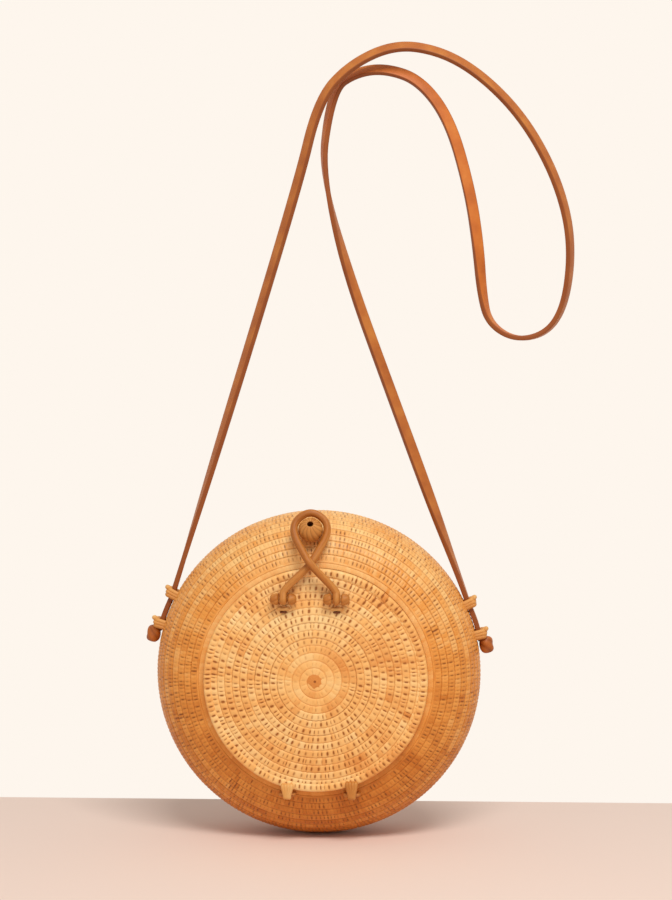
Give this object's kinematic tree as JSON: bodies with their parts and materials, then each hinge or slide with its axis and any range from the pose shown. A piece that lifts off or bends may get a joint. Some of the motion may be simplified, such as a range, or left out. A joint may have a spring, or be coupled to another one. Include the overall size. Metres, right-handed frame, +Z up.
{
  "type": "round cane shoulder bag",
  "caption": "Round shoulder bag of coiled cane with a hinged crowned lid, a crossed cord loop over a ball knob, and a narrow leather strap held at the top.",
  "frame": {"origin": "where a hand grips the two runs of the strap, above the bag", "axes": "+Z up from the bag to the grip, the lid faces -Y, +X to the right of someone looking at the lid"},
  "size_m": [0.2627, 0.0851, 0.4847],
  "materials": {
    "cane_body": "smoked honey cane, satin",
    "cane_lid": "pale straw cane, satin",
    "cane_cord": "twisted cane cord, satin",
    "strap_leather": "vegetable-tanned, matte",
    "lining_cloth": "plain cotton"
  },
  "bodies": {
    "strap": {"shoulder_strap": "strap_leather"},
    "bag": {"back_panel": "cane_body", "back_edge": "cane_body", "front_edge": "cane_body", "mouth_rim": "cane_body", "body_lining": "lining_cloth", "knob": "cane_cord", "knob_cord": "cane_cord", "knob_stop": "cane_cord", "keeper_upper_left": "cane_cord", "keeper_lower_left": "cane_cord", "keeper_upper_right": "cane_cord", "keeper_lower_right": "cane_cord", "strap_tail_left": "strap_leather", "strap_tail_right": "strap_leather", "strap_knot_left": "strap_leather", "strap_knot_right": "strap_leather", "hinge_staple_left": "cane_cord", "hinge_staple_right": "cane_cord"},
    "lid": {"lid_disc": "cane_lid", "lid_rim": "cane_lid", "lid_lining": "lining_cloth", "hinge_tie_left": "cane_cord", "hinge_tie_right": "cane_cord", "clasp_knot_left": "cane_cord", "clasp_knot_right": "cane_cord", "clasp_stop_left": "cane_cord", "clasp_stop_right": "cane_cord"},
    "clasp": {"clasp_loop": "cane_cord"}
  },
  "joints": [
    {"name": "bag_swing", "type": "hinge", "parent": "strap", "child": "bag", "pos_m": [0.0075, 0, -0.24428], "axis": [1, 0, 0], "range_deg": [-60, 60]},
    {"name": "lid_hinge", "type": "hinge", "parent": "bag", "child": "lid", "pos_m": [0.01, -0.0397, -0.3676], "axis": [1, 0, 0], "range_deg": [0, 120]},
    {"name": "clasp_swing", "type": "hinge", "parent": "lid", "child": "clasp", "pos_m": [0.0045, -0.04466, -0.248], "axis": [1, 0, 0], "range_deg": [0, 150]}
  ]
}
